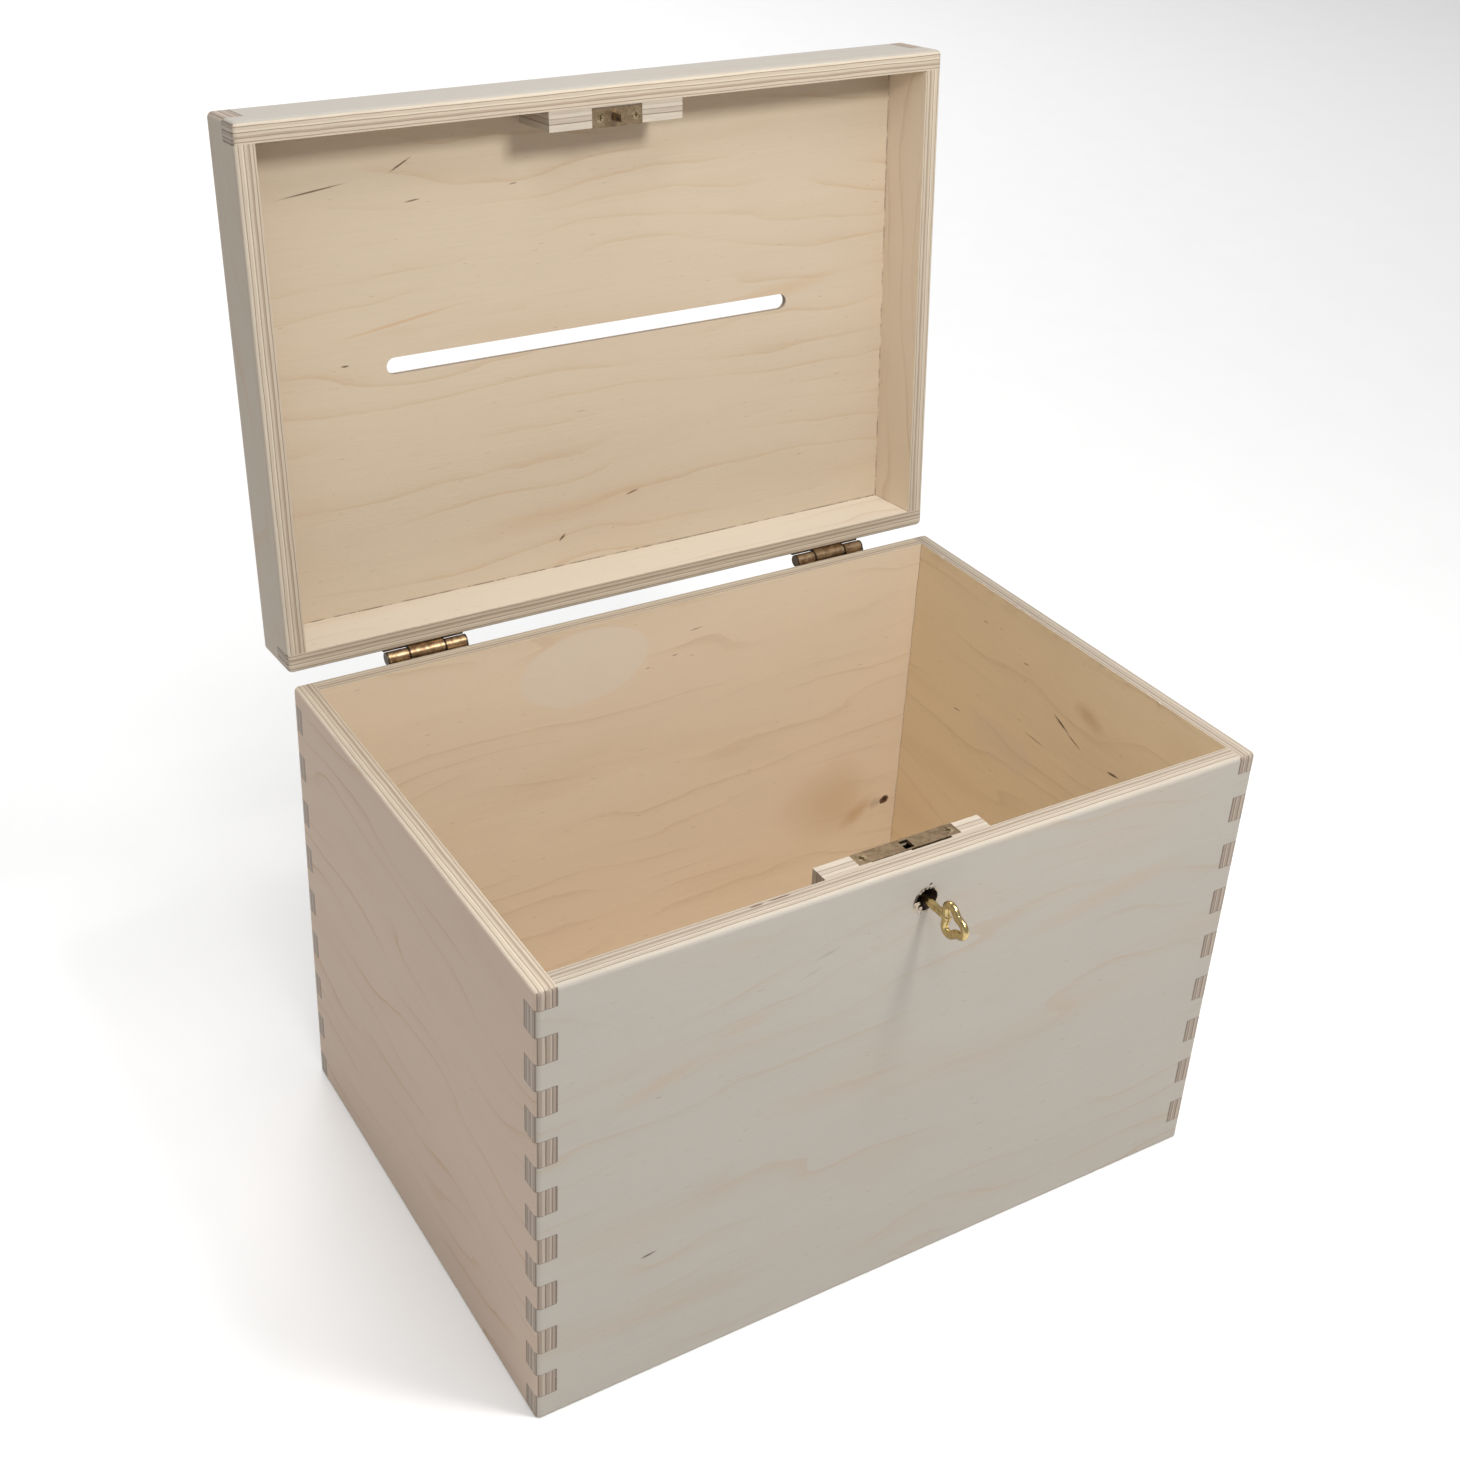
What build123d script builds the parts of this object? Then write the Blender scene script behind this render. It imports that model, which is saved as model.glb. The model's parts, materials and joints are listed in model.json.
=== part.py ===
from build123d import *
import os

# A donation box of finger-jointed birch plywood: an open box with a mortised lid lock in its
# front wall, and a shallow lid with a coin slot, hung on two butt hinges behind the back wall.
# Millimetres. +Z is up, the front faces -Y, and the origin is the centre of the underside.
# The lid is designed shut, and its pieces are then turned open about the hinge axis.

# ---------------------------------------------------------------- driving dimensions
WIDTH = 350.0
DEPTH = 242.0
PLY = 9.0  # walls, rails and blocks
PANEL = 3.0  # bottom and lid panels
FINGER = 12.55  # height of one joint finger
FINGERS = 17  # full fingers up each corner of the box
SHOULDER = 8.65  # the short finger that ends the joint under the rim
HEIGHT = FINGERS * FINGER + SHOULDER

LID_GAP = 0.3  # daylight between the two rims when shut
LID_HEIGHT = 32.5
OPEN_ANGLE = 95.0  # how far back the lid rests

CORNER_EASE = 2.5  # sanded upright corners
RIM_EASE = 2.2  # sanded outer edges of the rims and the lid top
FOOT_EASE = 0.8  # sanded edges of the underside
PANEL_SEAT = 4.5  # width of the rebate that holds a panel
PANEL_CORNER = 4.0  # corner radius that the router leaves in a rebate
PANEL_PLAY = 0.2

SLOT_LENGTH = 213.0
SLOT_WIDTH = 7.8
SLOT_X = 0.5
SLOT_Y = -2.5

RIM = HEIGHT + LID_GAP  # height of the lid's rim when shut
LID_TOP = RIM + LID_HEIGHT
FRONT_IN = -DEPTH / 2 + PLY  # inner face of the front wall
SHIM = 0.03  # play round screws in their holes

# hinges
HINGE_LENGTH = 40.0
HINGE_LEFT_X = -108.8
HINGE_RIGHT_X = 115.2
BARREL_R = 3.0
PIN_R = 1.0
PIN_PLAY = 0.05  # between a pin and the knuckle that turns on it
BARREL_Y = DEPTH / 2 + 3.5
BARREL_Z = HEIGHT + LID_GAP / 2
LEAF = 1.3
LEAF_REACH = 16.15  # from the barrel's axis to the leaf's far edge
LEAF_CUT = 2.85  # how far a leaf stops short of the axis beside a foreign knuckle
LEAF_CORNER = 1.5
KNUCKLE_MIDDLE = 18.0
KNUCKLE_GAP = 0.2
HINGE_SCREW_X = 12.0
HINGE_SCREW_REACH = 10.2
HINGE_SCREW_R = 1.25
HINGE_HEAD_R = 2.5
HINGE_SCREW_LENGTH = 7.5

# lock block, mortise and faceplate
LOCK_BLOCK_LOW_X = -45.0
LOCK_BLOCK_HIGH_X = 35.8
LOCK_BLOCK_DROP = 40.0
MORTISE_LOW_X = -22.0
MORTISE_HIGH_X = 17.2
MORTISE_FRONT_Y = -110.6
MORTISE_BACK_Y = -104.0
MORTISE_DEPTH = 34.0
SLIP_FRONT_Y = -111.3  # a ragged wider stretch of the mortise shows beside the faceplate
SLIP_LOW_X = -3.0
SLIP_DEPTH = 6.0
FACE_LENGTH = 50.0
FACE_WIDTH = 7.5
FACE_PLATE = 1.5
FACE_X = -2.7
FACE_Y = -106.45
FACE_CORNER = 0.8
FACE_SCREWS_X = (-24.0, 18.6)
FACE_SCREW_Y = -106.3
FACE_HEAD_R = 2.2
FACE_SCREW_R = 1.1
SCREW_LENGTH = 10.0
STAPLE_SLOT_X = -2.6
STAPLE_SLOT_Y = -106.7
STAPLE_SLOT_LENGTH = 4.4
STAPLE_SLOT_WIDTH = 5.4

# lock case, whose front is the cover
SHEET = 0.8
CASE_X = -2.5
CASE_LENGTH = 38.0
CASE_LOW_Z = 190.0
CASE_BACK_Y = -104.2
CASE_THICK = 6.2
CASE_TOP_Z = HEIGHT - FACE_PLATE
COVER_IN_Y = CASE_BACK_Y - CASE_THICK + SHEET
CASE_IN_Y = CASE_BACK_Y - SHEET

# key
KEY_X = -0.8
KEY_Z = 203.5
KEYHOLE_R = 5.2
SHAFT_R = 1.7
SHAFT_TIP_Y = -105.2
SHAFT_END_Y = -135.0
PIPE_R = 1.12
PIPE_DEPTH = 6.5
POST_R = 1.05
BIT_R = 4.6
BIT_THICK = 1.6
BIT_LOW_Y = -109.0
BIT_HIGH_Y = -105.4
WARD = 1.0
BOW_Y = -138.5
BOW_LOBE_R = 4.6
BOW_PITCH_R = 4.9
BOW_HOLE_R = 2.1
BOW_EYE_R = 2.9
BOW_THICK = 3.0
BOW_BEVEL = 0.6

# bolt, drawn unlocked; it slides towards -X to pass through the staple
BOLT_Y = -107.3
BOLT_THICK = 1.6
BOLT_LOW_X = -12.0
BOLT_HIGH_X = 14.5
BOLT_LOW_Z = 206.1
BOLT_BAR_Z = 212.0
BOLT_TOP_Z = 218.2
BOLT_NECK_X = 3.5
TONGUE_TIP_X = -0.35
TONGUE_HEIGHT = 2.6
NOTCH_WIDTH = 3.2
NOTCH_HEIGHT = 3.1
BOLT_TRAVEL = 4.2
GUIDE_X = 7.5
GUIDE_Z = 209.6
GUIDE_R = 0.95
GUIDE_PLAY = 0.05
SPRING_THICK = 0.4

# strike block, plate and staple on the lid
STRIKE_BLOCK_LOW_X = -35.0
STRIKE_BLOCK_HIGH_X = 31.5
STRIKE_LENGTH = 25.0
STRIKE_WIDTH = 8.3
STRIKE_PLATE = 1.0
STRIKE_X = -1.5
STRIKE_Y = -106.75
STRIKE_SEAT_FRONT_Y = -111.5
STRIKE_SCREWS_X = (-10.0, 7.8)
STRIKE_HEAD_R = 2.0
STRIKE_SCREW_R = 1.0
STAPLE_LENGTH = 3.0
STAPLE_WIDTH = 3.4
STAPLE_X = -2.6
STAPLE_TIP_Z = 214.0
WINDOW_WIDTH = 2.2
WINDOW_LOW_Z = 215.2
WINDOW_HIGH_Z = 218.6

HINGE_AXIS = Axis((0, BARREL_Y, BARREL_Z), (1, 0, 0))
finished = {}


def opened(piece):
    """A lid piece, turned from shut to resting open."""
    return piece.rotate(HINGE_AXIS, -OPEN_ANGLE)


def rectangle_between(low_x, high_x, low_y, high_y):
    """Adds a rectangle to the open sketch, given by its edges."""
    with Locations(((low_x + high_x) / 2, (low_y + high_y) / 2)):
        Rectangle(high_x - low_x, high_y - low_y)


# ---------------------------------------------------------------- carcass and lid frame
def eased_envelope(low_z, high_z, low_ease):
    """The whole outside of the box or the lid, with every outer edge sanded round."""
    with BuildPart() as envelope:
        with BuildSketch(Plane.XY.offset(low_z)):
            RectangleRounded(WIDTH, DEPTH, CORNER_EASE)
        extrude(amount=high_z - low_z)
        fillet(envelope.faces().sort_by(Axis.Z)[-1].edges(), RIM_EASE)
        fillet(envelope.faces().sort_by(Axis.Z)[0].edges(), low_ease)
    return envelope.part


def panel_blank(low_z, play):
    """The board that closes the box or the lid, or its rebate when play is 0."""
    with BuildPart() as panel:
        with BuildSketch(Plane.XY.offset(low_z)):
            RectangleRounded(
                WIDTH - 2 * PANEL_SEAT - 2 * play,
                DEPTH - 2 * PANEL_SEAT - 2 * play,
                PANEL_CORNER - play,
            )
        extrude(amount=PANEL)
    return panel.part


def jointed_board(plane, inward, length, low_z, high_z, notches, envelope, rebate):
    """A wall or rail: its face outline with joint notches at both ends, sanded and rebated."""
    with BuildPart() as board:
        with BuildSketch(plane):
            with Locations((0, (low_z + high_z) / 2)):
                Rectangle(length, high_z - low_z)
            for notch_low, notch_high in notches:
                with Locations(
                    (-(length - PLY) / 2, (notch_low + notch_high) / 2),
                    ((length - PLY) / 2, (notch_low + notch_high) / 2),
                ):
                    Rectangle(PLY, notch_high - notch_low, mode=Mode.SUBTRACT)
        extrude(amount=inward * PLY)
        add(envelope, mode=Mode.INTERSECT)
        add(rebate, mode=Mode.SUBTRACT)
    return board.part


box_envelope = eased_envelope(0, HEIGHT, FOOT_EASE)
lid_envelope = eased_envelope(RIM, LID_TOP, RIM_EASE)
box_rebate = panel_blank(0, 0)
lid_rebate = panel_blank(LID_TOP - PANEL, 0)

# The front and back boards own the even fingers, counted from the underside, and the side
# boards own the odd ones and the shoulder under the rim.
even_fingers = [(i * FINGER, (i + 1) * FINGER) for i in range(0, FINGERS, 2)]
odd_fingers = [(i * FINGER, (i + 1) * FINGER) for i in range(1, FINGERS, 2)]
odd_fingers.append((FINGERS * FINGER, HEIGHT))
lid_rim_finger = [(RIM, RIM + FINGER)]
lid_top_finger = [(RIM + FINGER, LID_TOP)]

FRONT = Plane.XZ.offset(DEPTH / 2)
BACK = Plane.XZ.offset(-DEPTH / 2)
LEFT = Plane.YZ.offset(-WIDTH / 2)
RIGHT = Plane.YZ.offset(WIDTH / 2)


def box_wall(plane, inward, length, notches):
    return jointed_board(plane, inward, length, 0, HEIGHT, notches, box_envelope, box_rebate)


def lid_rail(plane, inward, length, notches):
    return jointed_board(plane, inward, length, RIM, LID_TOP, notches, lid_envelope, lid_rebate)


def hinge_screw_planes(height, centres=(HINGE_LEFT_X, HINGE_RIGHT_X)):
    """Where the hinge screws sit on the outside of the leaves, facing backwards."""
    return [
        Plane(
            origin=(centre + side * HINGE_SCREW_X, DEPTH / 2 + LEAF, height),
            x_dir=(-1, 0, 0),
            z_dir=(0, 1, 0),
        )
        for centre in centres
        for side in (-1, 1)
    ]


BOX_SCREW_Z = BARREL_Z - HINGE_SCREW_REACH
LID_SCREW_Z = BARREL_Z + HINGE_SCREW_REACH

with BuildPart() as front_wall:
    add(box_wall(FRONT, -1, WIDTH, odd_fingers))
    with Locations(Plane(origin=(KEY_X, -DEPTH / 2, KEY_Z), x_dir=(1, 0, 0), z_dir=(0, -1, 0))):
        Hole(KEYHOLE_R, depth=PLY)
finished["front_wall"] = front_wall.part

with BuildPart() as back_wall:
    add(box_wall(BACK, 1, WIDTH, odd_fingers))
    with Locations(*hinge_screw_planes(BOX_SCREW_Z)):
        Hole(HINGE_SCREW_R + SHIM, depth=HINGE_SCREW_LENGTH + SHIM)
finished["back_wall"] = back_wall.part

finished["left_wall"] = box_wall(LEFT, 1, DEPTH, even_fingers)
finished["right_wall"] = box_wall(RIGHT, -1, DEPTH, even_fingers)
finished["bottom_panel"] = panel_blank(0, PANEL_PLAY)

finished["lid_front_rail"] = opened(lid_rail(FRONT, -1, WIDTH, lid_top_finger))
finished["lid_left_rail"] = opened(lid_rail(LEFT, 1, DEPTH, lid_rim_finger))
finished["lid_right_rail"] = opened(lid_rail(RIGHT, -1, DEPTH, lid_rim_finger))

with BuildPart() as lid_back_rail:
    add(lid_rail(BACK, 1, WIDTH, lid_top_finger))
    with Locations(*hinge_screw_planes(LID_SCREW_Z)):
        Hole(HINGE_SCREW_R + SHIM, depth=HINGE_SCREW_LENGTH + SHIM)
finished["lid_back_rail"] = opened(lid_back_rail.part)

with BuildPart() as lid_panel:
    add(panel_blank(LID_TOP - PANEL, PANEL_PLAY))
    with BuildSketch(Plane.XY.offset(LID_TOP)):
        with Locations((SLOT_X, SLOT_Y)):
            SlotOverall(SLOT_LENGTH, SLOT_WIDTH)
    extrude(amount=-PANEL, mode=Mode.SUBTRACT)
finished["lid_panel"] = opened(lid_panel.part)


# ---------------------------------------------------------------- screws
def countersunk_screw(head_r, shank_r, length):
    """A wood screw hanging down -Z: flat head, plain shank, sharp point."""
    with BuildPart() as screw:
        with BuildSketch(Plane.XZ):
            with BuildLine():
                Polyline(
                    (0, 0),
                    (head_r, 0),
                    (shank_r, shank_r - head_r),
                    (shank_r, 1.5 * shank_r - length),
                    (0, -length),
                    close=True,
                )
            make_face()
        revolve(axis=Axis.Z)
    return screw.part


def screw_group(planes, head_r, shank_r, length):
    """Identical screws, each with its head flush on its own plane."""
    with BuildPart() as group:
        with Locations(*planes):
            add(countersunk_screw(head_r, shank_r, length))
    return group.part


def upward(x, y, z):
    return Plane(origin=(x, y, z), z_dir=(0, 0, 1))


def downward(x, y, z):
    return Plane(origin=(x, y, z), x_dir=(1, 0, 0), z_dir=(0, 0, -1))


hinge_screw_sizes = (HINGE_HEAD_R, HINGE_SCREW_R, HINGE_SCREW_LENGTH)
finished["hinge_box_screws"] = screw_group(hinge_screw_planes(BOX_SCREW_Z), *hinge_screw_sizes)
finished["hinge_lid_screws"] = opened(
    screw_group(hinge_screw_planes(LID_SCREW_Z), *hinge_screw_sizes)
)


# ---------------------------------------------------------------- hinges
def hinge_leaf(centre_x, upper):
    """One leaf with its knuckles: the lid's has the middle one, the box's the outer two."""
    side = 1 if upper else -1
    half = HINGE_LENGTH / 2
    inner = (KNUCKLE_MIDDLE - KNUCKLE_GAP) / 2
    outer = (KNUCKLE_MIDDLE + KNUCKLE_GAP) / 2
    if upper:
        barrel_spans = [(-inner, inner)]
        cuts = [(-half, -inner), (inner, half)]
        bore_r = PIN_R + PIN_PLAY
        screw_z = LID_SCREW_Z
    else:
        barrel_spans = [(-half, -outer), (outer, half)]
        cuts = [(-outer, outer)]
        bore_r = PIN_R + SHIM
        screw_z = BOX_SCREW_Z
    with BuildPart() as leaf:
        with BuildSketch(BACK):
            with Locations((centre_x, BARREL_Z + side * LEAF_REACH / 2)):
                Rectangle(HINGE_LENGTH, LEAF_REACH)
            for low, high in cuts:
                with Locations((centre_x + (low + high) / 2, BARREL_Z + side * LEAF_CUT / 2)):
                    Rectangle(high - low, LEAF_CUT, mode=Mode.SUBTRACT)
        extrude(amount=-LEAF)
        upright_edges = leaf.edges().filter_by(Axis.Y).sort_by(Axis.Z, reverse=upper)
        fillet(upright_edges[:2], LEAF_CORNER)
        for low, high in barrel_spans:
            with BuildSketch(Plane.YZ.offset(centre_x + low)):
                with Locations((BARREL_Y, BARREL_Z)):
                    Circle(BARREL_R)
            extrude(amount=high - low)
        with BuildSketch(Plane.YZ.offset(centre_x - half)):
            with Locations((BARREL_Y, BARREL_Z)):
                Circle(bore_r)
        extrude(amount=HINGE_LENGTH, mode=Mode.SUBTRACT)
        with Locations(*hinge_screw_planes(screw_z, (centre_x,))):
            CounterSinkHole(HINGE_SCREW_R + SHIM, HINGE_HEAD_R + SHIM, counter_sink_angle=90)
    return leaf.part


def hinge_pin(centre_x):
    with BuildPart() as pin:
        with BuildSketch(Plane.YZ.offset(centre_x - HINGE_LENGTH / 2)):
            with Locations((BARREL_Y, BARREL_Z)):
                Circle(PIN_R)
        extrude(amount=HINGE_LENGTH)
    return pin.part


for side_name, centre in (("left", HINGE_LEFT_X), ("right", HINGE_RIGHT_X)):
    finished[f"hinge_{side_name}_box_leaf"] = hinge_leaf(centre, upper=False)
    finished[f"hinge_{side_name}_lid_leaf"] = opened(hinge_leaf(centre, upper=True))
    finished[f"hinge_{side_name}_pin"] = hinge_pin(centre)

# ---------------------------------------------------------------- lock block and faceplate
with BuildPart() as lock_block:
    with BuildSketch(Plane.XY.offset(HEIGHT)):
        rectangle_between(LOCK_BLOCK_LOW_X, LOCK_BLOCK_HIGH_X, FRONT_IN, FRONT_IN + PLY)
    extrude(amount=-LOCK_BLOCK_DROP)
    with BuildSketch(Plane.XY.offset(HEIGHT)):
        rectangle_between(MORTISE_LOW_X, MORTISE_HIGH_X, MORTISE_FRONT_Y, MORTISE_BACK_Y)
    extrude(amount=-MORTISE_DEPTH, mode=Mode.SUBTRACT)
    with BuildSketch(Plane.XY.offset(HEIGHT)):
        rectangle_between(SLIP_LOW_X, MORTISE_HIGH_X, SLIP_FRONT_Y, MORTISE_BACK_Y)
    extrude(amount=-SLIP_DEPTH, mode=Mode.SUBTRACT)
    with BuildSketch(Plane.XY.offset(HEIGHT)):
        with Locations((FACE_X, FACE_Y)):
            Rectangle(FACE_LENGTH + 2 * SHIM, FACE_WIDTH + 2 * SHIM)
    extrude(amount=-FACE_PLATE, mode=Mode.SUBTRACT)
    with Locations(Plane(origin=(KEY_X, FRONT_IN, KEY_Z), x_dir=(1, 0, 0), z_dir=(0, -1, 0))):
        Hole(KEYHOLE_R, depth=MORTISE_FRONT_Y - FRONT_IN)
    with Locations(*[upward(x, FACE_SCREW_Y, HEIGHT) for x in FACE_SCREWS_X]):
        Hole(FACE_SCREW_R + SHIM, depth=SCREW_LENGTH + SHIM)
finished["lock_block"] = lock_block.part

with BuildPart() as lock_faceplate:
    with BuildSketch(Plane.XY.offset(HEIGHT)):
        with Locations((FACE_X, FACE_Y)):
            RectangleRounded(FACE_LENGTH, FACE_WIDTH, FACE_CORNER)
        with Locations((STAPLE_SLOT_X, STAPLE_SLOT_Y)):
            Rectangle(STAPLE_SLOT_LENGTH, STAPLE_SLOT_WIDTH, mode=Mode.SUBTRACT)
    extrude(amount=-FACE_PLATE)
    with Locations(*[upward(x, FACE_SCREW_Y, HEIGHT) for x in FACE_SCREWS_X]):
        CounterSinkHole(FACE_SCREW_R + SHIM, FACE_HEAD_R + SHIM, counter_sink_angle=90)
finished["lock_faceplate"] = lock_faceplate.part

finished["lock_screws"] = screw_group(
    [upward(x, FACE_SCREW_Y, HEIGHT) for x in FACE_SCREWS_X],
    FACE_HEAD_R,
    FACE_SCREW_R,
    SCREW_LENGTH,
)

# ---------------------------------------------------------------- lock works
CASE_HEIGHT = CASE_TOP_Z - CASE_LOW_Z
CASE_MID_Z = (CASE_TOP_Z + CASE_LOW_Z) / 2

with BuildPart() as lock_case:
    with BuildSketch(Plane.XZ.offset(-CASE_BACK_Y)):
        with Locations((CASE_X, CASE_MID_Z)):
            Rectangle(CASE_LENGTH, CASE_HEIGHT)
    extrude(amount=CASE_THICK - SHEET)
    with BuildSketch(Plane.XZ.offset(-CASE_IN_Y)):
        with Locations((CASE_X, CASE_MID_Z)):
            Rectangle(CASE_LENGTH - 2 * SHEET, CASE_HEIGHT - 2 * SHEET)
    extrude(amount=CASE_THICK, mode=Mode.SUBTRACT)
    with BuildSketch(Plane.XY.offset(CASE_TOP_Z)):
        with Locations((STAPLE_SLOT_X, STAPLE_SLOT_Y)):
            Rectangle(STAPLE_SLOT_LENGTH, STAPLE_SLOT_WIDTH)
    extrude(amount=-SHEET, mode=Mode.SUBTRACT)
finished["lock_case"] = lock_case.part

with BuildPart() as lock_cover:
    with BuildSketch(Plane.XZ.offset(-COVER_IN_Y)):
        with Locations((CASE_X, CASE_MID_Z)):
            Rectangle(CASE_LENGTH, CASE_HEIGHT)
        with Locations((KEY_X, KEY_Z)):
            Circle(SHAFT_R + 0.3, mode=Mode.SUBTRACT)
        with Locations((KEY_X, KEY_Z + BIT_R / 2)):
            Rectangle(BIT_THICK + 0.6, BIT_R + 0.6, mode=Mode.SUBTRACT)
    extrude(amount=SHEET)
finished["lock_cover"] = lock_cover.part

with BuildPart() as key_post:
    with BuildSketch(Plane.XZ.offset(-CASE_IN_Y)):
        with Locations((KEY_X, KEY_Z)):
            Circle(POST_R)
    extrude(amount=CASE_IN_Y - COVER_IN_Y)
finished["key_post"] = key_post.part

with BuildPart() as bolt_guide_pin:
    with BuildSketch(Plane.XZ.offset(-CASE_IN_Y)):
        with Locations((GUIDE_X, GUIDE_Z)):
            Circle(GUIDE_R)
    extrude(amount=CASE_IN_Y - COVER_IN_Y)
finished["bolt_guide_pin"] = bolt_guide_pin.part

# The bolt's outline: a bar with the key's notch, and a neck that carries the tongue.
with BuildPart() as lock_bolt:
    with BuildSketch(Plane.XZ.offset(-BOLT_Y)):
        with BuildLine():
            Polyline(
                (BOLT_LOW_X, BOLT_LOW_Z),
                (KEY_X - NOTCH_WIDTH / 2, BOLT_LOW_Z),
                (KEY_X - NOTCH_WIDTH / 2, BOLT_LOW_Z + NOTCH_HEIGHT),
                (KEY_X + NOTCH_WIDTH / 2, BOLT_LOW_Z + NOTCH_HEIGHT),
                (KEY_X + NOTCH_WIDTH / 2, BOLT_LOW_Z),
                (BOLT_HIGH_X, BOLT_LOW_Z),
                (BOLT_HIGH_X, BOLT_TOP_Z),
                (TONGUE_TIP_X, BOLT_TOP_Z),
                (TONGUE_TIP_X, BOLT_TOP_Z - TONGUE_HEIGHT),
                (BOLT_NECK_X, BOLT_TOP_Z - TONGUE_HEIGHT),
                (BOLT_NECK_X, BOLT_BAR_Z),
                (BOLT_LOW_X, BOLT_BAR_Z),
                close=True,
            )
        make_face()
        with Locations((GUIDE_X + BOLT_TRAVEL / 2, GUIDE_Z)):
            SlotCenterToCenter(BOLT_TRAVEL, 2 * (GUIDE_R + GUIDE_PLAY), mode=Mode.SUBTRACT)
    extrude(amount=BOLT_THICK / 2, both=True)
finished["lock_bolt"] = lock_bolt.part

# A bent strip, riveted to the end of the case, that bears on the bolt's bar.
SPRING_ROOT_X = CASE_X - CASE_LENGTH / 2 + SHEET
with BuildPart() as bolt_spring:
    with BuildSketch(Plane.XZ.offset(-BOLT_Y)):
        with BuildLine() as strip:
            Polyline(
                (SPRING_ROOT_X + SPRING_THICK / 2, BOLT_BAR_Z - 2),
                (SPRING_ROOT_X + SPRING_THICK / 2, BOLT_BAR_Z + 4),
                (BOLT_LOW_X - 2, BOLT_BAR_Z + 4),
                (BOLT_LOW_X + 2, BOLT_BAR_Z + SPRING_THICK / 2 + SHIM),
                (BOLT_LOW_X + 4, BOLT_BAR_Z + SPRING_THICK / 2 + SHIM),
            )
            offset(amount=SPRING_THICK / 2, kind=Kind.INTERSECTION)
        make_face()
    extrude(amount=BOLT_THICK / 2, both=True)
finished["bolt_spring"] = bolt_spring.part

# ---------------------------------------------------------------- key
with BuildPart() as key:
    with BuildSketch(Plane.YZ.offset(KEY_X)):
        with Locations((BOW_Y, KEY_Z)):
            Circle(BOW_LOBE_R)
            with PolarLocations(BOW_PITCH_R, 3, start_angle=180):
                Circle(BOW_LOBE_R)
            Circle(BOW_EYE_R, mode=Mode.SUBTRACT)
            with PolarLocations(BOW_PITCH_R, 3, start_angle=180):
                Circle(BOW_HOLE_R, mode=Mode.SUBTRACT)
    extrude(amount=BOW_THICK / 2, both=True)
    chamfer(key.faces().filter_by(Axis.X).edges(), BOW_BEVEL)
    with BuildSketch(Plane.XZ.offset(-SHAFT_TIP_Y)):
        with Locations((KEY_X, KEY_Z)):
            Circle(SHAFT_R)
    extrude(amount=SHAFT_TIP_Y - SHAFT_END_Y)
    with BuildSketch(Plane.XZ.offset(-BIT_HIGH_Y)):
        with Locations((KEY_X, KEY_Z + BIT_R / 2)):
            Rectangle(BIT_THICK, BIT_R)
    extrude(amount=BIT_HIGH_Y - BIT_LOW_Y)
    with BuildSketch(Plane.XZ.offset(-(BIT_LOW_Y + BIT_HIGH_Y) / 2)):
        with Locations((KEY_X, KEY_Z + BIT_R)):
            Rectangle(BIT_THICK, 2 * WARD)
    extrude(amount=WARD / 2, both=True, mode=Mode.SUBTRACT)
    with BuildSketch(Plane.XZ.offset(-SHAFT_TIP_Y)):
        with Locations((KEY_X, KEY_Z)):
            Circle(PIPE_R)
    extrude(amount=PIPE_DEPTH, mode=Mode.SUBTRACT)
finished["key"] = key.part

# ---------------------------------------------------------------- strike block, plate and staple
with BuildPart() as strike_block:
    with BuildSketch(Plane.XY.offset(RIM)):
        rectangle_between(STRIKE_BLOCK_LOW_X, STRIKE_BLOCK_HIGH_X, FRONT_IN, FRONT_IN + PLY)
    extrude(amount=LID_HEIGHT - PANEL)
    with BuildSketch(Plane.XY.offset(RIM)):
        rectangle_between(
            STRIKE_X - STRIKE_LENGTH / 2 - SHIM,
            STRIKE_X + STRIKE_LENGTH / 2 + SHIM,
            STRIKE_SEAT_FRONT_Y,
            FRONT_IN + PLY,
        )
    extrude(amount=STRIKE_PLATE, mode=Mode.SUBTRACT)
    with Locations(*[downward(x, STRIKE_Y, RIM) for x in STRIKE_SCREWS_X]):
        Hole(STRIKE_SCREW_R + SHIM, depth=SCREW_LENGTH + SHIM)
finished["strike_block"] = opened(strike_block.part)

with BuildPart() as strike_plate:
    with BuildSketch(Plane.XY.offset(RIM)):
        with Locations((STRIKE_X, STRIKE_Y)):
            RectangleRounded(STRIKE_LENGTH, STRIKE_WIDTH, FACE_CORNER)
    extrude(amount=STRIKE_PLATE)
    with Locations(*[downward(x, STRIKE_Y, RIM) for x in STRIKE_SCREWS_X]):
        CounterSinkHole(STRIKE_SCREW_R + SHIM, STRIKE_HEAD_R + SHIM, counter_sink_angle=90)
    with BuildSketch(Plane.YZ.offset(STAPLE_X)):
        with Locations((BOLT_Y, (STAPLE_TIP_Z + RIM) / 2)):
            Rectangle(STAPLE_WIDTH, RIM - STAPLE_TIP_Z)
        with Locations((BOLT_Y, (WINDOW_LOW_Z + WINDOW_HIGH_Z) / 2)):
            Rectangle(WINDOW_WIDTH, WINDOW_HIGH_Z - WINDOW_LOW_Z, mode=Mode.SUBTRACT)
    extrude(amount=STAPLE_LENGTH / 2, both=True)
finished["strike_plate"] = opened(strike_plate.part)

finished["strike_screws"] = opened(
    screw_group(
        [downward(x, STRIKE_Y, RIM) for x in STRIKE_SCREWS_X],
        STRIKE_HEAD_R,
        STRIKE_SCREW_R,
        SCREW_LENGTH,
    )
)

# ---------------------------------------------------------------- export
os.makedirs("parts", exist_ok=True)
for name, piece in finished.items():
    piece.label = name
    export_step(piece, f"parts/{name}.step")
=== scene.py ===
import json
import math
import random

import bmesh
import bpy
from mathutils import Matrix, Vector


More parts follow.
